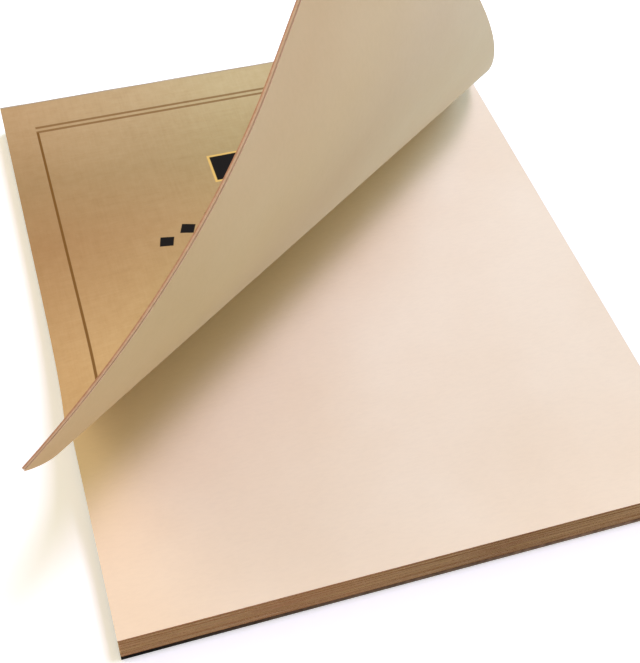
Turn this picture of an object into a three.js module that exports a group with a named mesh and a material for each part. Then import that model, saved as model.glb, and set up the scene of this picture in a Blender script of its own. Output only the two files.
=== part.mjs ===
// A top-glued writing pad that lies on its backing board, with its cover and first sheet lifted by
// the foot corner and rolled up across the pad. Millimetres and degrees, +Z up, head of the pad at +Y,
// origin at the middle of the backing board's underside.

import * as THREE from 'three';

// The paper
const padWidth = 101.6;
const padLength = 127;
const sheetThickness = 0.095;
const coverThickness = 0.4;
const boardThickness = 1.0;
const airBetweenLeaves = 0.02;
const blockSheetCount = 48;

// The glue along the head
const glueThickness = 0.4;

// The roll is three bends, one after the other from head to foot. A bend starts and ends on a straight
// line across the sheet, given by how far down the left and right edges from the head the line lies.
const liftStartLeft = 33.9;
const liftStartRight = 2.7;
const foldStartLeft = 95.5;
const foldStartRight = 16.7;
const curlStartLeft = 104.6;
const curlStartRight = 29;
const curlEndLeft = 197.9;
const curlEndRight = 88;
const liftAngle = 31.2;
const foldAngle = 27.3;
const curlAngle = 46;
const liftCreases = 8;
const foldCreases = 6;
const curlCreases = 10;

// Heights that follow from the sizes above
const leafPitch = sheetThickness + airBetweenLeaves;
const blockStart = boardThickness + airBetweenLeaves;
const pageStart = blockStart + blockSheetCount * leafPitch;
const turnedStart = pageStart + leafPitch;
const coverStart = turnedStart + leafPitch;

const headEdge = padLength / 2;
const footEdge = -padLength / 2;
const leftEdge = -padWidth / 2;
const rightEdge = padWidth / 2;

function paperMaterial() {
  return new THREE.MeshStandardMaterial({ color: 0xf0dcc6, roughness: 0.9, metalness: 0 });
}

function kraftMaterial() {
  return new THREE.MeshStandardMaterial({ color: 0xbe9b6e, roughness: 0.85, metalness: 0 });
}

function boardMaterial() {
  return new THREE.MeshStandardMaterial({ color: 0x4a3b30, roughness: 0.95, metalness: 0 });
}

function glueMaterial() {
  return new THREE.MeshStandardMaterial({ color: 0xe9e2d2, roughness: 0.4, metalness: 0 });
}

// A flat leaf as wide and long as the pad, with its underside at the given height
function flatLeaf(name, underside, thickness, material) {
  const leaf = new THREE.Mesh(new THREE.BoxGeometry(padWidth, padLength, thickness), material);
  leaf.name = name;
  leaf.position.z = underside + thickness / 2;
  return leaf;
}

// A strip of the glue film along the head, from one height to another
function glueStrip(name, underside, top) {
  const strip = new THREE.Mesh(new THREE.BoxGeometry(padWidth, glueThickness, top - underside), glueMaterial());
  strip.name = name;
  strip.position.y = headEdge + airBetweenLeaves + glueThickness / 2;
  strip.position.z = (underside + top) / 2;
  return strip;
}

// The creases of one bend, spread evenly between its first and last line. Each is a line on the flat
// turned sheet and the angle that the paper turns there. The weights shape how the bend sets in.
function bendCreases(startLeft, startRight, endLeft, endRight, angle, count, weight) {
  const shares = [];
  for (let i = 0; i < count; i += 1) {
    shares.push(weight((i + 0.5) / count));
  }
  const total = shares.reduce((sum, share) => sum + share, 0);
  return shares.map((share, i) => {
    const along = (i + 0.5) / count;
    return {
      left: new THREE.Vector2(leftEdge, headEdge - THREE.MathUtils.lerp(startLeft, endLeft, along)),
      right: new THREE.Vector2(rightEdge, headEdge - THREE.MathUtils.lerp(startRight, endRight, along)),
      turn: THREE.MathUtils.degToRad(angle) * share / total,
    };
  });
}

const settingIn = (along) => Math.sin(along * Math.PI / 2);
const even = () => 1;
const creases = [
  ...bendCreases(liftStartLeft, liftStartRight, foldStartLeft, foldStartRight, liftAngle, liftCreases, settingIn),
  ...bendCreases(foldStartLeft, foldStartRight, curlStartLeft, curlStartRight, foldAngle, foldCreases, even),
  ...bendCreases(curlStartLeft, curlStartRight, curlEndLeft, curlEndRight, curlAngle, curlCreases, even),
];

// How each flat strip between two creases lies in the roll. The part beyond a crease turns upwards
// about it, so a strip takes the place of the strip before it, turned about the crease between them.
const stripPlaces = [new THREE.Matrix4()];
for (const crease of creases) {
  const anchor = new THREE.Vector3(crease.left.x, crease.left.y, turnedStart);
  const axis = new THREE.Vector3().subVectors(crease.left, crease.right).setZ(0).normalize();
  const place = stripPlaces[stripPlaces.length - 1].clone()
    .multiply(new THREE.Matrix4().makeTranslation(anchor.x, anchor.y, anchor.z))
    .multiply(new THREE.Matrix4().makeRotationAxis(axis, crease.turn))
    .multiply(new THREE.Matrix4().makeTranslation(-anchor.x, -anchor.y, -anchor.z));
  stripPlaces.push(place);
}

// Where a crease line leaves the sheet on one side: on that side's edge, or on the foot edge if the
// line passes below the corner
function edgePoint(near, far) {
  if (near.y >= footEdge) {
    return { flat: near, onFoot: false };
  }
  const share = (footEdge - near.y) / (far.y - near.y);
  return { flat: new THREE.Vector2().lerpVectors(near, far, share), onFoot: true };
}

// A rolled leaf. Its middle lies above the turned sheet's underside, on the inside of the roll, so its
// own creases sit closer to the head and its foot slides out beyond the leaf below it, as in a real roll.
function rolledLeaf(name, underside, thickness, material) {
  const height = underside - turnedStart + thickness / 2;
  const middle = turnedStart + height;
  const slide = new THREE.Vector2();
  const corners = [];
  const points = [];

  function addPoint(flat, slid, strip, lean) {
    const base = new THREE.Vector3(flat.x + slid.x, flat.y + slid.y, middle);
    const normal = new THREE.Vector3(0, 0, 1).transformDirection(stripPlaces[strip]);
    let reach = thickness / 2;
    if (lean > 0) {
      normal.add(new THREE.Vector3(0, 0, 1).transformDirection(stripPlaces[strip + 1])).normalize();
      reach /= Math.cos(lean / 2);
    }
    base.applyMatrix4(stripPlaces[strip]);
    points.push({
      lower: base.clone().addScaledVector(normal, -reach),
      upper: base.clone().addScaledVector(normal, reach),
    });
    return points.length - 1;
  }

  // One outline of point numbers for each flat strip, from its left side round to its right side
  let leftRun = [addPoint(new THREE.Vector2(leftEdge, headEdge), slide, 0, 0)];
  let rightRun = [addPoint(new THREE.Vector2(rightEdge, headEdge), slide, 0, 0)];
  const leftBorder = [...leftRun];
  const rightBorder = [...rightRun];
  let leftOnFoot = false;
  let rightOnFoot = false;
  let strip = 0;
  for (const crease of creases) {
    const along = new THREE.Vector2().subVectors(crease.right, crease.left).normalize();
    const footward = new THREE.Vector2(along.y, -along.x);
    const step = height * Math.tan(crease.turn / 2);
    const back = slide.clone().addScaledVector(footward, step);
    const left = lineAtEdge(crease, back, leftEdge);
    const right = lineAtEdge(crease, back, rightEdge);
    if (left.y < footEdge && right.y < footEdge) {
      break;
    }
    const leftEnd = edgePoint(left, right);
    const rightEnd = edgePoint(right, left);
    if (leftEnd.onFoot && !leftOnFoot) {
      leftRun.push(addPoint(new THREE.Vector2(leftEdge, footEdge), slide, strip, 0));
      leftBorder.push(leftRun[leftRun.length - 1]);
      leftOnFoot = true;
    }
    if (rightEnd.onFoot && !rightOnFoot) {
      rightRun.push(addPoint(new THREE.Vector2(rightEdge, footEdge), slide, strip, 0));
      rightBorder.push(rightRun[rightRun.length - 1]);
      rightOnFoot = true;
    }
    const leftPoint = addPoint(leftEnd.flat, slide, strip, crease.turn);
    const rightPoint = addPoint(rightEnd.flat, slide, strip, crease.turn);
    corners.push([...leftRun, leftPoint, rightPoint, ...rightRun.reverse()]);
    leftBorder.push(leftPoint);
    rightBorder.push(rightPoint);
    leftRun = [leftPoint];
    rightRun = [rightPoint];
    slide.addScaledVector(footward, 2 * step);
    strip += 1;
  }
  if (!leftOnFoot) {
    leftRun.push(addPoint(new THREE.Vector2(leftEdge, footEdge), slide, strip, 0));
    leftBorder.push(leftRun[leftRun.length - 1]);
  }
  if (!rightOnFoot) {
    rightRun.push(addPoint(new THREE.Vector2(rightEdge, footEdge), slide, strip, 0));
    rightBorder.push(rightRun[rightRun.length - 1]);
  }
  corners.push([...leftRun, ...rightRun.reverse()]);

  const rolled = new THREE.Mesh(closedSheet(points, corners, [...leftBorder, ...rightBorder.reverse()]), material);
  rolled.name = name;
  return rolled;
}

// The point of a crease line, moved back by the given step, at one of the sheet's long edges
function lineAtEdge(crease, back, edge) {
  const left = crease.left.clone().sub(back);
  const right = crease.right.clone().sub(back);
  const share = (edge - left.x) / (right.x - left.x);
  return new THREE.Vector2().lerpVectors(left, right, share);
}

// A closed sheet from its pairs of points, the outline of each flat strip and the whole border
function closedSheet(points, strips, border) {
  const positions = [];
  for (const point of points) {
    positions.push(...point.upper.toArray(), ...point.lower.toArray());
  }
  const upper = (point) => 2 * point;
  const lower = (point) => 2 * point + 1;
  const index = [];
  for (const outline of strips) {
    for (let i = 1; i < outline.length - 1; i += 1) {
      index.push(upper(outline[0]), upper(outline[i]), upper(outline[i + 1]));
      index.push(lower(outline[0]), lower(outline[i + 1]), lower(outline[i]));
    }
  }
  for (let i = 0; i < border.length; i += 1) {
    const here = border[i];
    const next = border[(i + 1) % border.length];
    index.push(upper(here), lower(here), lower(next));
    index.push(upper(here), lower(next), upper(next));
  }
  const geometry = new THREE.BufferGeometry();
  geometry.setAttribute('position', new THREE.Float32BufferAttribute(positions, 3));
  geometry.setIndex(index);
  geometry.computeVertexNormals();
  return geometry;
}

function numbered(name, number) {
  return `${name}_${String(number).padStart(2, '0')}`;
}

// The block that stays on the table: the board, the sheets still to be used and their glue
function block() {
  const group = new THREE.Group();
  group.add(flatLeaf('backing_board', 0, boardThickness, boardMaterial()));
  for (let i = 0; i < blockSheetCount; i += 1) {
    group.add(flatLeaf(numbered('block_sheet', i + 1), blockStart + i * leafPitch, sheetThickness, paperMaterial()));
  }
  group.add(glueStrip('block_glue', 0, pageStart - airBetweenLeaves));
  return group;
}

// The page that lies open for writing, with its own strip of glue
function openPage() {
  const group = new THREE.Group();
  group.add(flatLeaf('open_page', pageStart, sheetThickness, paperMaterial()));
  group.add(glueStrip('page_glue', pageStart, pageStart + sheetThickness));
  return group;
}

// The sheet that is rolled up with the cover, with its own strip of glue
function turnedSheet() {
  const group = new THREE.Group();
  group.add(rolledLeaf('turned_sheet', turnedStart, sheetThickness, paperMaterial()));
  group.add(glueStrip('sheet_glue', turnedStart, turnedStart + sheetThickness));
  return group;
}

// The kraft cover, on the inside of the roll, with its own strip of glue
function frontCover() {
  const group = new THREE.Group();
  group.add(rolledLeaf('front_cover', coverStart, coverThickness, kraftMaterial()));
  group.add(glueStrip('cover_glue', coverStart, coverStart + coverThickness));
  return group;
}

const notepad = new THREE.Group();
notepad.add(block(), openPage(), turnedSheet(), frontCover());

export default notepad;
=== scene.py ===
import math
import random

import bmesh
import bpy
from mathutils import Matrix, Vector


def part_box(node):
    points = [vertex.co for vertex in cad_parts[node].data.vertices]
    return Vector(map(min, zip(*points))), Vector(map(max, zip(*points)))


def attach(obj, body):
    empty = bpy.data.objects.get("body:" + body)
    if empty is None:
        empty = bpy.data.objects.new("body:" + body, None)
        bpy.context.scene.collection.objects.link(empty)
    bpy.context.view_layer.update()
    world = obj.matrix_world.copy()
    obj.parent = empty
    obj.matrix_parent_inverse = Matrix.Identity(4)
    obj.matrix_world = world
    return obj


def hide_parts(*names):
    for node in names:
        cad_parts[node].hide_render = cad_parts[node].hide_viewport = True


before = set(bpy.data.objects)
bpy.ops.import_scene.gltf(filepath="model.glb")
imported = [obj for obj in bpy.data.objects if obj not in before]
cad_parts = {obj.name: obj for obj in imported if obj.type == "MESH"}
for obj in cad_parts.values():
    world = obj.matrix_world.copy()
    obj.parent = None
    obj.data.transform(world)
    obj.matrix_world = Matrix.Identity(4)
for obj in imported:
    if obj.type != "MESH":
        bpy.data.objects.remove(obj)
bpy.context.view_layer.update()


# The backing board
# A stiff sheet of dark uncoated board, 1 mm thick, guillotined with the pad and held to it by the glue
# along the head. Its faces are fibrous and its cut edges are a little soft and worn. A painted shadow
# darkens it toward the pad's left side.

MM = 0.001
CRISP_EDGE = math.radians(35)
BOARD_EDGE_WEAR = 0.10 * MM
BOARD_EDGE_STEPS = 3
BOARD_DARK = (0.130, 0.082, 0.055, 1)
BOARD_LIGHT = (0.350, 0.230, 0.158, 1)
BOARD_PULP = [(0.32, BOARD_DARK), (0.72, BOARD_LIGHT)]
BOARD_RELIEF = 0.02 * MM
# Tones that change along a piece are pairs: the share of the way from its left side or foot, and the tone.
# Painted shadow under the pad: the board goes nearly black toward the pad's left side.
BOARD_SHADOW_FROM_LEFT = [(0.05, (0.01, 0.01, 0.01, 1)), (0.30, (0.42, 0.42, 0.42, 1)), (1.0, (1.0, 1.0, 1.0, 1))]


def new_finish(name, roughness, shine):
    """A material with its shader, ready for a colour and a relief."""
    finish = bpy.data.materials.new(name)
    finish.use_nodes = True
    shader = finish.node_tree.nodes["Principled BSDF"]
    shader.inputs["Roughness"].default_value = roughness
    shader.inputs["Specular IOR Level"].default_value = shine
    return finish, shader


def feed(finish, socket, given):
    """Links another node's output to a socket, or sets the socket to a plain value."""
    if isinstance(given, bpy.types.NodeSocket):
        finish.node_tree.links.new(given, socket)
    else:
        socket.default_value = given


def add_node(finish, kind, sockets=None, **settings):
    """A new node with its settings, and with what each of its sockets is fed."""
    node = finish.node_tree.nodes.new(kind)
    for key, value in settings.items():
        setattr(node, key, value)
    for socket_name, given in (sockets or {}).items():
        feed(finish, node.inputs[socket_name], given)
    return node


def object_place(finish):
    return add_node(finish, "ShaderNodeTexCoord").outputs["Object"]


def stretched(finish, place, scale):
    mapping = add_node(finish, "ShaderNodeMapping", sockets={"Vector": place, "Scale": scale})
    return mapping.outputs["Vector"]


def grain(finish, place, scale, detail=4.0, rough=0.6):
    """A noise over the piece, with its scale per metre."""
    sockets = {"Vector": place, "Scale": scale, "Detail": detail, "Roughness": rough}
    return add_node(finish, "ShaderNodeTexNoise", sockets=sockets).outputs["Fac"]


def tone(finish, amount, stops):
    """A colour ramp from (position, colour) pairs."""
    ramp = add_node(finish, "ShaderNodeValToRGB", sockets={"Fac": amount})
    marks = ramp.color_ramp.elements
    while len(marks) < len(stops):
        marks.new(0.5)
    for mark, (position, colour) in zip(marks, stops):
        mark.position = position
        mark.color = colour
    return ramp.outputs["Color"]


def blended(finish, amount, first, second, mode="MIX"):
    """The second colour laid over the first, or multiplied with it, by the amount."""
    mix = add_node(finish, "ShaderNodeMix", data_type="RGBA", blend_type=mode)
    for socket_name, given in (("Factor", amount), ("A", first), ("B", second)):
        live = [socket for socket in mix.inputs if socket.name == socket_name and socket.enabled]
        feed(finish, live[0], given)
    return [socket for socket in mix.outputs if socket.enabled][0]


def calc(finish, operation, *values):
    node = add_node(finish, "ShaderNodeMath", operation=operation)
    for socket, given in zip(node.inputs, values):
        feed(finish, socket, given)
    return node.outputs[0]


def relief(finish, shader, height, depth):
    """Raises the surface by depth, in metres, where the height is one."""
    sockets = {"Height": height, "Distance": depth, "Strength": 1.0}
    bump = add_node(finish, "ShaderNodeBump", sockets=sockets)
    feed(finish, shader.inputs["Normal"], bump.outputs["Normal"])


def paint(finish, shader, colour):
    feed(finish, shader.inputs["Base Color"], colour)


def shaded_across(finish, colour, place, shading_tones):
    """The colour darkened by painted shade that changes from the pad's left side to its right."""
    across = add_node(finish, "ShaderNodeSeparateXYZ", sockets={"Vector": place}).outputs["X"]
    share = add_node(finish, "ShaderNodeMapRange", sockets={
        "Value": across, "From Min": board_low.x, "From Max": board_high.x}).outputs["Result"]
    return blended(finish, 1.0, colour, tone(finish, share, shading_tones), "MULTIPLY")


def board_finish():
    finish, shader = new_finish("dark_board", roughness=0.92, shine=0.12)
    place = object_place(finish)
    pulp = grain(finish, place, scale=900.0, detail=6.0)
    # The board's pulp colour, darkened by painted shadow toward the pad's left side.
    paint(finish, shader, shaded_across(finish, tone(finish, pulp, BOARD_PULP), place, BOARD_SHADOW_FROM_LEFT))
    relief(finish, shader, pulp, BOARD_RELIEF)
    return finish


def finished_piece(name, shape, finishes, body):
    """Turns a bmesh into a piece that rides on a body, smooth but for its crisp edges."""
    shape.normal_update()
    for edge in shape.edges:
        edge.smooth = len(edge.link_faces) == 2 and edge.calc_face_angle(0.0) < CRISP_EDGE
    for face in shape.faces:
        face.smooth = True
    mesh = bpy.data.meshes.new(name)
    shape.to_mesh(mesh)
    shape.free()
    for finish in finishes:
        mesh.materials.append(finish)
    piece = bpy.data.objects.new(name, mesh)
    bpy.context.scene.collection.objects.link(piece)
    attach(piece, body)
    return piece


def slab(low, high):
    """A flat rectangular solid between two corners."""
    shape = bmesh.new()
    bmesh.ops.create_cube(shape, size=1.0)
    bmesh.ops.scale(shape, vec=high - low, verts=shape.verts)
    bmesh.ops.translate(shape, vec=(low + high) / 2, verts=shape.verts)
    return shape


board_low, board_high = [Vector(corner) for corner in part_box("backing_board")]
board_shape = slab(board_low, board_high)
bmesh.ops.bevel(board_shape, geom=board_shape.edges[:], offset=BOARD_EDGE_WEAR, segments=BOARD_EDGE_STEPS,
                profile=0.5, affect="EDGES", material=-1)
board = finished_piece("board", board_shape, [board_finish()], "block")
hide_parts("backing_board")


# The block of unused sheets
# Forty-eight loose sheets of cream writing paper, held only along the head by the glue. The guillotine
# leaves them flush to about a tenth of a millimetre, and their cut edges are a little rough. Their brown
# is a warm tone of their own darkened with painted shade, and more painted shade darkens their right half.

PAPER_PALE = (0.900, 0.775, 0.559, 1)
PAPER_WARM = (0.860, 0.715, 0.494, 1)
PAPER_CLOUDS = [(0.30, PAPER_WARM), (0.70, PAPER_PALE)]
PAPER_FLECKS = [(0.25, (0.93, 0.93, 0.93, 1)), (0.60, (1.0, 1.0, 1.0, 1))]
PAPER_FLECK_SHARE = 0.4
PAPER_FIBRE_STRETCH = (1.0, 3.2, 1.0)
PAPER_RELIEF = 0.006 * MM
# The cut edges' own warm tone, darkened with painted shade.
EDGE_SHADED_DARK = (0.232, 0.093, 0.040, 1)
EDGE_SHADED_PALE = (0.350, 0.165, 0.087, 1)
# Painted shade, darker from the middle of the pad toward its right side.
EDGE_SHADE_FROM_LEFT = [(0.35, (1.0, 1.0, 1.0, 1)), (0.62, (0.70, 0.68, 0.64, 1)), (1.0, (0.84, 0.84, 0.80, 1))]
EDGE_LAYER_STRETCH = (0.02, 0.02, 1.0)
EDGE_LAYER_SHARE = 0.5
EDGE_CHIP_SHARE = 0.5
EDGE_DARK_AT = 0.34
EDGE_PALE_AT = 0.66
EDGE_RELIEF = 0.03 * MM
SIDE_FACE_RISE = 0.5
SHEET_SEED = 11
SHEET_LONG_EDGE = 10 * MM
SHEET_CUTS = 7
SHEET_EDGE_PLAY = 0.10 * MM
SHEET_WAVE_SHARE = 0.25
SHEET_WAVE_ACROSS = 170
SHEET_WAVE_DOWN = 130
SHEET_WAVE_SHIFT = 60000
AT_EDGE = 1e-6
block_names = sorted(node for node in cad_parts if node.startswith("block_sheet"))


def on_flat_leaf(finish):
    """A place on a rolled leaf before it was rolled, as shares of its width and its length."""
    return add_node(finish, "ShaderNodeUVMap", uv_map="flat").outputs["UV"]


def lit_and_shaded(finish, colour, from_foot, from_left):
    """A rolled leaf's colour with painted light and shade along its length and across its width."""
    split = add_node(finish, "ShaderNodeSeparateXYZ", sockets={"Vector": on_flat_leaf(finish)})
    for way, shading_tones in ((split.outputs["Y"], from_foot), (split.outputs["X"], from_left)):
        colour = blended(finish, 1.0, colour, tone(finish, way, shading_tones), "MULTIPLY")
    return colour


def paper_finish(name, shading_tones=None):
    """Uncoated writing paper. A rolled leaf also gets painted light and shade from the foot and from the
    left.
    """
    finish, shader = new_finish(name, roughness=0.88, shine=0.25)
    place = object_place(finish)
    cloud = grain(finish, place, scale=34.0, detail=3.0, rough=0.5)
    tooth = grain(finish, place, scale=2600.0, detail=5.0, rough=0.65)
    fibre = grain(finish, stretched(finish, place, PAPER_FIBRE_STRETCH), scale=700.0)
    flecks = tone(finish, fibre, PAPER_FLECKS)
    colour = blended(finish, PAPER_FLECK_SHARE, tone(finish, cloud, PAPER_CLOUDS), flecks, "MULTIPLY")
    if shading_tones:
        colour = lit_and_shaded(finish, colour, *shading_tones)
    paint(finish, shader, colour)
    relief(finish, shader, calc(finish, "ADD", tooth, fibre), PAPER_RELIEF)
    return finish


def cut_edge_finish(name, dark, pale, shading_tones=None):
    """The guillotined edge of paper, in fine layers and chips. Painted shade, where given, changes from the
    pad's left side to its right.
    """
    finish, shader = new_finish(name, roughness=0.95, shine=0.1)
    place = object_place(finish)
    layer = grain(finish, stretched(finish, place, EDGE_LAYER_STRETCH), scale=5200.0, detail=2.0)
    chip = grain(finish, place, scale=1500.0)
    layer_part = calc(finish, "MULTIPLY", layer, EDGE_LAYER_SHARE)
    chip_part = calc(finish, "MULTIPLY", chip, EDGE_CHIP_SHARE)
    amount = calc(finish, "ADD", layer_part, chip_part)
    colour = tone(finish, amount, [(EDGE_DARK_AT, dark), (EDGE_PALE_AT, pale)])
    if shading_tones:
        colour = shaded_across(finish, colour, place, shading_tones)
    paint(finish, shader, colour)
    relief(finish, shader, amount, EDGE_RELIEF)
    return finish


paper = paper_finish("writing_paper")
# The block's and the page's cut edges carry painted shade.
cut_edge = cut_edge_finish("cut_edge", EDGE_SHADED_DARK, EDGE_SHADED_PALE, EDGE_SHADE_FROM_LEFT)


def mark_cut_edges(shape):
    """Gives the narrow side faces of a flat leaf the second finish."""
    shape.normal_update()
    for face in shape.faces:
        if abs(face.normal.z) < SIDE_FACE_RISE:
            face.material_index = 1


def cut_long_edges(shape, longer_than, cuts):
    """Cuts the long edges, and the faces between them, into equal lengths."""
    chosen = [edge for edge in shape.edges if edge.calc_length() > longer_than]
    bmesh.ops.subdivide_edges(shape, edges=chosen, cuts=cuts, use_grid_fill=True)


dice = random.Random(SHEET_SEED)
for node_name in block_names:
    low, high = [Vector(corner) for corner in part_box(node_name)]
    sheet_shape = slab(low, high)
    cut_long_edges(sheet_shape, SHEET_LONG_EDGE, SHEET_CUTS)
    foot_play, left_play, right_play = [dice.uniform(0.0, SHEET_EDGE_PLAY) for _ in range(3)]
    for vert in sheet_shape.verts:
        swing = vert.co.x * SHEET_WAVE_ACROSS + vert.co.y * SHEET_WAVE_DOWN + foot_play * SHEET_WAVE_SHIFT
        wave = SHEET_WAVE_SHARE * SHEET_EDGE_PLAY * (1 + math.sin(swing))
        if vert.co.y < low.y + AT_EDGE:
            vert.co.y += foot_play + wave
        if vert.co.x < low.x + AT_EDGE:
            vert.co.x += left_play + wave
        elif vert.co.x > high.x - AT_EDGE:
            vert.co.x -= right_play + wave
    mark_cut_edges(sheet_shape)
    sheet_name = node_name.replace("block_sheet", "sheet")
    sheet = finished_piece(sheet_name, sheet_shape, [paper, cut_edge], "block")
    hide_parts(node_name)


# The open page
# The blank page that lies ready for writing, one leaf of the same cream paper on top of the block. It
# lies flat, and its film of glue holds it along the head.

page_low, page_high = [Vector(corner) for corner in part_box("open_page")]
page_shape = slab(page_low, page_high)
mark_cut_edges(page_shape)
page = finished_piece("writing_page", page_shape, [paper, cut_edge], "page")
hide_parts("open_page")


# The glue along the head
# A thin film of dried padding glue brushed over the head of the whole stack: a strip of it on the block
# and one on each leaf that turns. Brush marks run along it.

GLUE_PALE = (0.50, 0.43, 0.31, 1)
GLUE_DULL = (0.35, 0.28, 0.18, 1)
GLUE_STREAKS = [(0.30, GLUE_DULL), (0.70, GLUE_PALE)]
GLUE_STREAK_STRETCH = (0.06, 1.0, 1.0)
GLUE_RELIEF = 0.03 * MM
GLUE_LONG_EDGE = 50 * MM
GLUE_TALL_EDGE = 0.5 * MM
GLUE_CUTS_ALONG = 79
GLUE_CUTS_UP = 5
GLUE_UNEVEN = 0.09 * MM
GLUE_WAVE_ALONG = 410
GLUE_SLOW_WAVE_ALONG = 93
GLUE_WAVE_UP = 900


def glue_finish():
    finish, shader = new_finish("padding_glue", roughness=0.42, shine=0.45)
    place = object_place(finish)
    streak = grain(finish, stretched(finish, place, GLUE_STREAK_STRETCH), scale=2400.0)
    paint(finish, shader, tone(finish, streak, GLUE_STREAKS))
    relief(finish, shader, streak, GLUE_RELIEF)
    return finish


glue = glue_finish()
for body in ("block", "page", "sheet", "cover"):
    node_name = body + "_glue"
    low, high = [Vector(corner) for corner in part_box(node_name)]
    film_shape = slab(low, high)
    cut_long_edges(film_shape, GLUE_LONG_EDGE, GLUE_CUTS_ALONG)
    tall = [e for e in film_shape.edges if abs(e.verts[0].co.z - e.verts[1].co.z) > GLUE_TALL_EDGE]
    if tall:
        bmesh.ops.subdivide_edges(film_shape, edges=tall, cuts=GLUE_CUTS_UP, use_grid_fill=True)
    for vert in film_shape.verts:
        if vert.co.y > high.y - AT_EDGE:
            slow_swell = math.sin(vert.co.x * GLUE_SLOW_WAVE_ALONG + vert.co.z * GLUE_WAVE_UP)
            swell = math.sin(vert.co.x * GLUE_WAVE_ALONG) * slow_swell
            vert.co.y -= GLUE_UNEVEN * (0.5 + 0.5 * swell)
    film = finished_piece(body + "_glue_film", film_shape, [glue], body)
    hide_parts(node_name)


# The turned sheet
# One sheet of the same paper, held along the head and rolled up across the pad with the cover by its
# foot corner. Paper bends only along straight lines, so the roll is three bends in a row, each a fan of
# creases, and the leaf further inside the roll slides a little further out at its foot.

# How far below the head each bend starts and ends, on the line of the left edge and of the right edge.
LIFT_START = (33.9 * MM, 2.7 * MM)
FOLD_START = (95.5 * MM, 16.7 * MM)
CURL_START = (104.6 * MM, 29.0 * MM)
CURL_END = (197.9 * MM, 88.0 * MM)
LIFT_ANGLE = math.radians(31.2)
FOLD_ANGLE = math.radians(27.3)
CURL_ANGLE = math.radians(46)
LIFT_CREASES = 28
FOLD_CREASES = 14
CURL_CREASES = 34
# A leaf's spring multiplies its turn at every crease. The sheet turns by the plain angles.
SHEET_SPRING = 1.0
ON_CREASE = 1e-7
FACE, BACK, CUT_EDGE, EDGE_BY_FACE = range(4)
EDGE_BY_FACE_SHARE = 0.5
# Painted shade darkens the sheet's back all over, and more toward the foot and the left, where painted
# light bounced from the page warms it.
BACK_SHADE_FROM_FOOT = [(0.05, (0.65, 0.58, 0.48, 1)), (0.17, (0.66, 0.61, 0.52, 1)),
                  (0.30, (0.65, 0.62, 0.58, 1)), (0.48, (0.69, 0.70, 0.69, 1))]
BACK_SHADE_FROM_LEFT = [(0.02, (0.94, 0.85, 0.76, 1)), (0.28, (0.96, 0.96, 0.91, 1)), (0.52, (1.0, 1.0, 1.0, 1))]
SHEET_EDGE_DARK = (0.68, 0.46, 0.31, 1)
SHEET_EDGE_PALE = (0.82, 0.60, 0.42, 1)
head = page_high.y
foot = page_low.y
left_side = page_low.x
right_side = page_high.x
roll_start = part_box("sheet_glue")[0][2]
sheet_thickness = page_high.z - page_low.z


def setting_in(step):
    """The weight of a turn in a bend that sets in slowly."""
    return math.sin(step * math.pi / 2)


def even(step):
    """The weight of a turn in a bend that is the same all along."""
    return 1.0


def bend_creases(start, end, angle, count, weight):
    """Creases of one bend: a point on the left edge, one on the right edge, and the turn there."""
    steps = [(i + 0.5) / count for i in range(count)]
    total = sum(weight(step) for step in steps)
    found = []
    for step in steps:
        down_left = start[0] + (end[0] - start[0]) * step
        down_right = start[1] + (end[1] - start[1]) * step
        left = Vector((left_side, head - down_left))
        right = Vector((right_side, head - down_right))
        found.append((left, right, angle * weight(step) / total))
    return found


creases = (bend_creases(LIFT_START, FOLD_START, LIFT_ANGLE, LIFT_CREASES, setting_in)
           + bend_creases(FOLD_START, CURL_START, FOLD_ANGLE, FOLD_CREASES, even)
           + bend_creases(CURL_START, CURL_END, CURL_ANGLE, CURL_CREASES, even))


def own_creases(height, spring):
    """The creases on a leaf whose middle lies that far inside the roll, as lines on the flat leaf.

    Each is a point on it, its direction, the way to the foot and its turn, which the spring multiplies.
    """
    slide = Vector((0, 0))
    found = []
    for left, right, turn in creases:
        turn = turn * spring
        along = (right - left).normalized()
        footward = Vector((along.y, -along.x))
        step = height * math.tan(turn / 2)
        shift = slide + footward * step
        found.append((left - shift, along, footward, turn))
        slide += footward * 2 * step
    return found


def cut_through(shape, place, facing):
    """Cuts every face that a plane goes through."""
    whole = shape.verts[:] + shape.edges[:] + shape.faces[:]
    bmesh.ops.bisect_plane(shape, geom=whole, dist=ON_CREASE, plane_co=place, plane_no=facing)


def rolled_leaf(underside, thickness, spring):
    """A leaf cut flat, creased and then folded up along its creases from the foot to the head.

    Its faces take their finishes in this order: face, back, cut edge, and the cut edge next to the face.
    """
    middle = underside + thickness / 2
    face_side_level = underside + thickness * (1 - EDGE_BY_FACE_SHARE)
    shape = slab(Vector((left_side, foot, underside)), Vector((right_side, head, underside + thickness)))
    cut_through(shape, (0, 0, face_side_level), (0, 0, 1))
    lines = own_creases(middle - roll_start, spring)
    for point, _, footward, _ in lines:
        cut_through(shape, (point.x, point.y, middle), (footward.x, footward.y, 0))
    flat = shape.loops.layers.uv.new("flat")
    for face in shape.faces:
        for loop in face.loops:
            loop[flat].uv = ((loop.vert.co.x - left_side) / (right_side - left_side),
                             (loop.vert.co.y - foot) / (head - foot))
    shape.normal_update()
    for face in shape.faces:
        if abs(face.normal.z) > SIDE_FACE_RISE:
            face.material_index = FACE if face.normal.z > 0 else BACK
        else:
            face.material_index = EDGE_BY_FACE if face.calc_center_median().z > face_side_level else CUT_EDGE
    flat_place = {vert: Vector((vert.co.x, vert.co.y)) for vert in shape.verts}
    for point, along, footward, turn in reversed(lines):
        beyond = [vert for vert in shape.verts if (flat_place[vert] - point).dot(footward) > ON_CREASE]
        if beyond:
            fold = Matrix.Rotation(turn, 3, Vector((-along.x, -along.y, 0)))
            bmesh.ops.rotate(shape, cent=(point.x, point.y, middle), matrix=fold, verts=beyond)
    return shape


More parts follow.
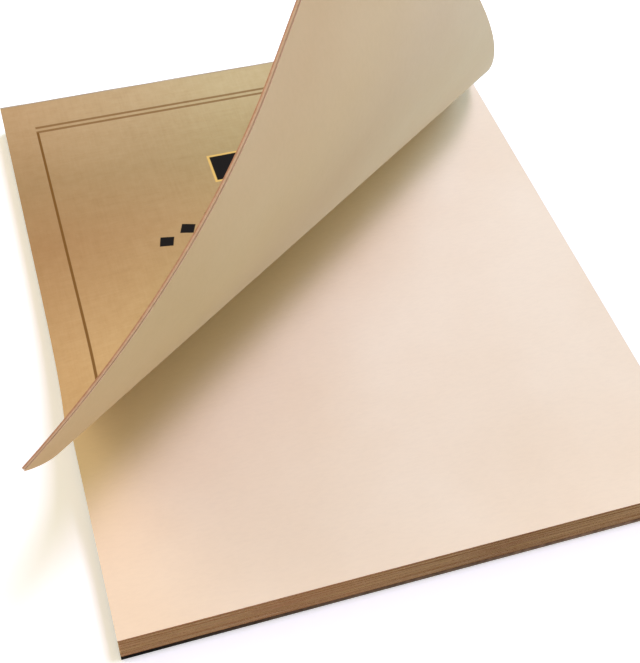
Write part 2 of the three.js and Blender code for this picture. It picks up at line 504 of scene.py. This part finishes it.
# The sheet's back carries painted shade and painted bounce light.
sheet_back = paper_finish("back_of_sheet", (BACK_SHADE_FROM_FOOT, BACK_SHADE_FROM_LEFT))
sheet_edge = cut_edge_finish("sheet_edge", SHEET_EDGE_DARK, SHEET_EDGE_PALE)
turned_shape = rolled_leaf(roll_start, sheet_thickness, SHEET_SPRING)
turned_finishes = [sheet_back, sheet_back, sheet_edge, sheet_edge]
turned = finished_piece("turned_leaf", turned_shape, turned_finishes, "sheet")
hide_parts("turned_sheet")


# The front cover
# One leaf of uncoated brown kraft card with a linen-like press mark, held along the head by its glue. A
# thin frame is printed on it in darker brown, double at the head and foot, with a plain black panel that
# has a gilt edge and an arc of small lozenges.

KRAFT_DEEP = (0.440, 0.311, 0.149, 1)
KRAFT_MID = (0.541, 0.404, 0.204, 1)
KRAFT_PALE = (0.612, 0.477, 0.262, 1)
BARE_DEEP = (0.50, 0.34, 0.19, 1)
BARE_MID = (0.58, 0.41, 0.24, 1)
BARE_PALE = (0.66, 0.48, 0.30, 1)
CORE_BROWN = (0.50, 0.33, 0.21, 1)
CORE_TAN = (0.60, 0.42, 0.28, 1)
# Darker on the half of the cover's cut edge next to its printed face.
FACE_SIDE_BROWN = (0.38, 0.20, 0.10, 1)
FACE_SIDE_TAN = (0.50, 0.29, 0.17, 1)
# Painted light and shade on the cover: light and yellow over its lower part, darkest above the middle,
# lighter and cooler again at the head, and darker and redder at its left edge.
KRAFT_LIGHT_AND_SHADE_FROM_FOOT = [(0.39, (0.96, 0.98, 0.81, 1)), (0.66, (0.73, 0.70, 0.57, 1)),
                   (0.80, (0.69, 0.72, 0.62, 1)), (0.97, (0.87, 0.94, 0.91, 1))]
KRAFT_LIGHT_AND_SHADE_FROM_LEFT = [(0.03, (0.93, 0.78, 0.74, 1)), (0.28, (1.0, 0.93, 0.95, 1)), (0.45, (1.0, 1.0, 1.0, 1))]
KRAFT_DEEP_AT = 0.24
KRAFT_MID_AT = 0.46
KRAFT_PALE_AT = 0.68
KRAFT_EDGE_DEEP_AT = 0.3
KRAFT_EDGE_PALE_AT = 0.7
KRAFT_PULP_SHARE = 0.35
KRAFT_CLOUD_SHARE = 0.35
KRAFT_LINEN_SHARE = 0.16
KRAFT_LINEN_SCALE = 1900.0
KRAFT_LINEN_ACROSS = (0.05, 1.0, 1.0)
KRAFT_LINEN_DOWN = (1.0, 0.05, 1.0)
KRAFT_RELIEF = 0.012 * MM
COVER_SPRING = 1.0008
RULE_BROWN = (0.170, 0.080, 0.014, 1)
INK_BLACK = (0.007, 0.005, 0.003, 1)
GILT = (0.680, 0.470, 0.130, 1)
SIDE_RULE_INK = 0.95
CROSS_RULE_INK = 0.72
# The print's sizes and places are in millimetres on the flat cover, in from its sides and ends, and for
# the panel and the arc down from its head.
PRINT_SOFT = 0.06
SIDE_RULE_IN = 6.5
SIDE_RULE_WIDTH = 0.52
OUTER_RULE_IN = 8.0
INNER_RULE_IN = 9.4
CROSS_RULE_WIDTH = 0.65
PANEL_DOWN = 30.0
PANEL_HALF_WIDTH = 11.5
PANEL_HALF_HEIGHT = 3.6
PANEL_GILT = 0.5
ARC_DOWN = 41.6
ARC_RADIUS = 50.0
ARC_PITCH = 5.3
ARC_BEAD = 1.9
ARC_SPREAD = 28.5
pad_width_mm = (right_side - left_side) / MM
pad_length_mm = (head - foot) / MM


def apart(finish, first, second):
    """How far two measures are from each other."""
    return calc(finish, "ABSOLUTE", calc(finish, "SUBTRACT", first, second))


def inside(finish, distance, limit):
    """One where the distance is under the limit, in millimetres, with a soft printed edge."""
    spread = add_node(finish, "ShaderNodeMapRange", clamp=True, sockets={
        "Value": distance, "From Min": limit - PRINT_SOFT, "From Max": limit + PRINT_SOFT,
        "To Min": 1.0, "To Max": 0.0})
    return spread.outputs["Result"]


def kraft_surface(finish, deep, mid, pale):
    """The mottled brown of kraft, and the height of its pulp and its press mark."""
    place = stretched(finish, on_flat_leaf(finish), (pad_width_mm * MM, pad_length_mm * MM, 1.0))
    pulp = grain(finish, place, scale=420.0, detail=6.0, rough=0.7)
    cloud = grain(finish, place, scale=26.0, detail=3.0)
    across = grain(finish, stretched(finish, place, KRAFT_LINEN_ACROSS), KRAFT_LINEN_SCALE, detail=3.0)
    down = grain(finish, stretched(finish, place, KRAFT_LINEN_DOWN), KRAFT_LINEN_SCALE, detail=3.0)
    linen = calc(finish, "ADD", across, down)
    pulp_part = calc(finish, "MULTIPLY", pulp, KRAFT_PULP_SHARE)
    cloud_part = calc(finish, "MULTIPLY", cloud, KRAFT_CLOUD_SHARE)
    linen_part = calc(finish, "MULTIPLY", linen, KRAFT_LINEN_SHARE)
    amount = calc(finish, "ADD", calc(finish, "ADD", pulp_part, cloud_part), linen_part)
    stops = [(KRAFT_DEEP_AT, deep), (KRAFT_MID_AT, mid), (KRAFT_PALE_AT, pale)]
    colour = tone(finish, amount, stops)
    return colour, calc(finish, "ADD", linen, pulp)


def frame_rules(finish, from_middle, from_centre):
    """The printed frame: one rule down each side, and two across at the head and at the foot."""
    side_place = pad_width_mm / 2 - SIDE_RULE_IN
    within_sides = inside(finish, from_middle, side_place + SIDE_RULE_WIDTH / 2)
    within_ends = inside(finish, from_centre, pad_length_mm / 2 - INNER_RULE_IN)
    side = inside(finish, apart(finish, from_middle, side_place), SIDE_RULE_WIDTH / 2)
    rules = calc(finish, "MULTIPLY", calc(finish, "MULTIPLY", side, within_ends), SIDE_RULE_INK)
    for rule_in in (OUTER_RULE_IN, INNER_RULE_IN):
        off = apart(finish, from_centre, pad_length_mm / 2 - rule_in)
        cross = calc(finish, "MULTIPLY", inside(finish, off, CROSS_RULE_WIDTH / 2), within_sides)
        rules = calc(finish, "MAXIMUM", rules, calc(finish, "MULTIPLY", cross, CROSS_RULE_INK))
    return rules


def lozenge_arc(finish, across, down):
    """A row of small lozenges, evenly spaced on an arc that rises toward the head."""
    side = calc(finish, "SUBTRACT", across, pad_width_mm / 2)
    below = calc(finish, "SUBTRACT", ARC_DOWN + ARC_RADIUS, down)
    turn = calc(finish, "ARCTAN2", side, below)
    side_squared = calc(finish, "MULTIPLY", side, side)
    below_squared = calc(finish, "MULTIPLY", below, below)
    reach = calc(finish, "SQRT", calc(finish, "ADD", side_squared, below_squared))
    travel = calc(finish, "MULTIPLY", turn, ARC_RADIUS)
    count = calc(finish, "ROUND", calc(finish, "DIVIDE", travel, ARC_PITCH))
    sideways = apart(finish, travel, calc(finish, "MULTIPLY", count, ARC_PITCH))
    outward = apart(finish, reach, ARC_RADIUS)
    beads = inside(finish, calc(finish, "ADD", sideways, outward), ARC_BEAD)
    within_arc = inside(finish, calc(finish, "ABSOLUTE", travel), ARC_SPREAD)
    return calc(finish, "MULTIPLY", beads, within_arc)


def printed_cover_finish():
    finish, shader = new_finish("printed_kraft", roughness=0.85, shine=0.12)
    colour, height = kraft_surface(finish, KRAFT_DEEP, KRAFT_MID, KRAFT_PALE)
    # Painted light and shade over the cover, along its length and across its width.
    colour = lit_and_shaded(finish, colour, KRAFT_LIGHT_AND_SHADE_FROM_FOOT, KRAFT_LIGHT_AND_SHADE_FROM_LEFT)
    split = add_node(finish, "ShaderNodeSeparateXYZ", sockets={"Vector": on_flat_leaf(finish)})
    across = calc(finish, "MULTIPLY", split.outputs["X"], pad_width_mm)
    up = calc(finish, "MULTIPLY", split.outputs["Y"], pad_length_mm)
    down = calc(finish, "SUBTRACT", pad_length_mm, up)
    from_middle = apart(finish, across, pad_width_mm / 2)
    from_centre = apart(finish, up, pad_length_mm / 2)
    colour = blended(finish, frame_rules(finish, from_middle, from_centre), colour, RULE_BROWN)
    for border, ink in ((PANEL_GILT, GILT), (0, INK_BLACK)):
        wide = inside(finish, from_middle, PANEL_HALF_WIDTH + border)
        high = inside(finish, apart(finish, down, PANEL_DOWN), PANEL_HALF_HEIGHT + border)
        colour = blended(finish, calc(finish, "MULTIPLY", wide, high), colour, ink)
    paint(finish, shader, blended(finish, lozenge_arc(finish, across, down), colour, INK_BLACK))
    relief(finish, shader, height, KRAFT_RELIEF)
    return finish


def bare_kraft_finish():
    finish, shader = new_finish("bare_kraft", roughness=0.85, shine=0.2)
    colour, height = kraft_surface(finish, BARE_DEEP, BARE_MID, BARE_PALE)
    paint(finish, shader, colour)
    relief(finish, shader, height, KRAFT_RELIEF)
    return finish


def kraft_edge_finish(name, deep, pale):
    finish, shader = new_finish(name, roughness=0.95, shine=0.1)
    pulp = grain(finish, object_place(finish), scale=1800.0, detail=5.0)
    paint(finish, shader, tone(finish, pulp, [(KRAFT_EDGE_DEEP_AT, deep), (KRAFT_EDGE_PALE_AT, pale)]))
    relief(finish, shader, pulp, EDGE_RELIEF)
    return finish


cover_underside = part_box("cover_glue")[0][2]
cover_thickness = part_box("cover_glue")[1][2] - cover_underside
cover_shape = rolled_leaf(cover_underside, cover_thickness, COVER_SPRING)
cover_finishes = [printed_cover_finish(), bare_kraft_finish(),
                  kraft_edge_finish("kraft_edge", CORE_BROWN, CORE_TAN),
                  kraft_edge_finish("kraft_edge_by_face", FACE_SIDE_BROWN, FACE_SIDE_TAN)]
cover = finished_piece("cover", cover_shape, cover_finishes, "cover")
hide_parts("front_cover")


# The studio
# A pale floor under the pad, a soft light high over it, a cool fill low on the right, a warm one on the
# left, and the soft light of a plain room all round.

FLOOR_HALF = 6.0
FLOOR_COLOUR = (0.90, 0.97, 0.93, 1)
FLOOR_GLOW = (0.84, 0.86, 0.95, 1)
FLOOR_GLOW_STRENGTH = 0.36
KEY_PLACE = Vector((0.245, -0.044, 0.95))
KEY_SIZE = 0.22
KEY_POWER = 5.46
KEY_COLOUR = (0.72, 0.65, 1.0)
RIGHT_FILL_PLACE = Vector((0.55, 0.45, 0.18))
RIGHT_FILL_SIZE = 0.30
RIGHT_FILL_POWER = 7.2
RIGHT_FILL_COLOUR = (0.36, 0.62, 1.0)
LEFT_FILL_PLACE = Vector((-0.45, 0.30, 0.45))
LEFT_FILL_SIZE = 0.45
LEFT_FILL_POWER = 1.61
LEFT_FILL_COLOUR = (1.0, 0.72, 0.45)
# The tones of the room's light, from the level of the floor up.
ROOM_TONES = [(0.0, (0.80, 0.80, 0.79, 1)), (0.14, (0.70, 0.68, 0.62, 1)), (0.32, (0.455, 0.400, 0.248, 1))]

floor_shape = bmesh.new()
bmesh.ops.create_grid(floor_shape, x_segments=1, y_segments=1, size=FLOOR_HALF)
floor_mesh = bpy.data.meshes.new("floor")
floor_shape.to_mesh(floor_mesh)
floor_shape.free()
floor = bpy.data.objects.new("floor", floor_mesh)
bpy.context.scene.collection.objects.link(floor)
floor_finish, floor_shader = new_finish("pale_floor", roughness=0.9, shine=0.1)
floor_shader.inputs["Base Color"].default_value = FLOOR_COLOUR
floor_shader.inputs["Emission Color"].default_value = FLOOR_GLOW
floor_shader.inputs["Emission Strength"].default_value = FLOOR_GLOW_STRENGTH
floor_mesh.materials.append(floor_finish)


def hang_light(name, place, size, power, colour):
    """A square soft light that faces the pad."""
    lamp = bpy.data.lights.new(name, "AREA")
    lamp.size = size
    lamp.energy = power
    lamp.color = colour
    light = bpy.data.objects.new(name, lamp)
    light.location = place
    light.rotation_euler = (-place).to_track_quat("-Z", "Y").to_euler()
    bpy.context.scene.collection.objects.link(light)


hang_light("key", KEY_PLACE, KEY_SIZE, KEY_POWER, KEY_COLOUR)
hang_light("right_fill", RIGHT_FILL_PLACE, RIGHT_FILL_SIZE, RIGHT_FILL_POWER, RIGHT_FILL_COLOUR)
hang_light("left_fill", LEFT_FILL_PLACE, LEFT_FILL_SIZE, LEFT_FILL_POWER, LEFT_FILL_COLOUR)

room = bpy.data.worlds.new("room")
room.use_nodes = True
way = add_node(room, "ShaderNodeTexCoord").outputs["Generated"]
rise = add_node(room, "ShaderNodeSeparateXYZ", sockets={"Vector": way}).outputs["Z"]
feed(room, room.node_tree.nodes["Background"].inputs["Color"], tone(room, rise, ROOM_TONES))
bpy.context.scene.world = room


# The camera
# It stands off the pad's foot, above its left side, and looks down on it at the photograph's viewing
# angle, through a plain lens without depth of field.

CAMERA_PLACE = Vector((-50.83, -151.47, 183.90)) * MM
CAMERA_LOOKS = Vector((0.2082, 0.6010, -0.7716))
CAMERA_RIGHT = Vector((0.9553, -0.2943, 0.0285))
CAMERA_LENS = 67.54
CAMERA_SENSOR_WIDTH = 36.0
CAMERA_NEAR = 5 * MM

looks = CAMERA_LOOKS.normalized()
right = (CAMERA_RIGHT - looks * CAMERA_RIGHT.dot(looks)).normalized()
up = right.cross(looks)
camera_data = bpy.data.cameras.new("camera")
camera_data.lens = CAMERA_LENS
camera_data.sensor_width = CAMERA_SENSOR_WIDTH
camera_data.clip_start = CAMERA_NEAR
camera = bpy.data.objects.new("camera", camera_data)
camera.matrix_world = Matrix((
    (right.x, up.x, -looks.x, CAMERA_PLACE.x),
    (right.y, up.y, -looks.y, CAMERA_PLACE.y),
    (right.z, up.z, -looks.z, CAMERA_PLACE.z),
    (0, 0, 0, 1)))
bpy.context.scene.collection.objects.link(camera)
bpy.context.scene.camera = camera
bpy.context.scene.view_settings.view_transform = "Standard"
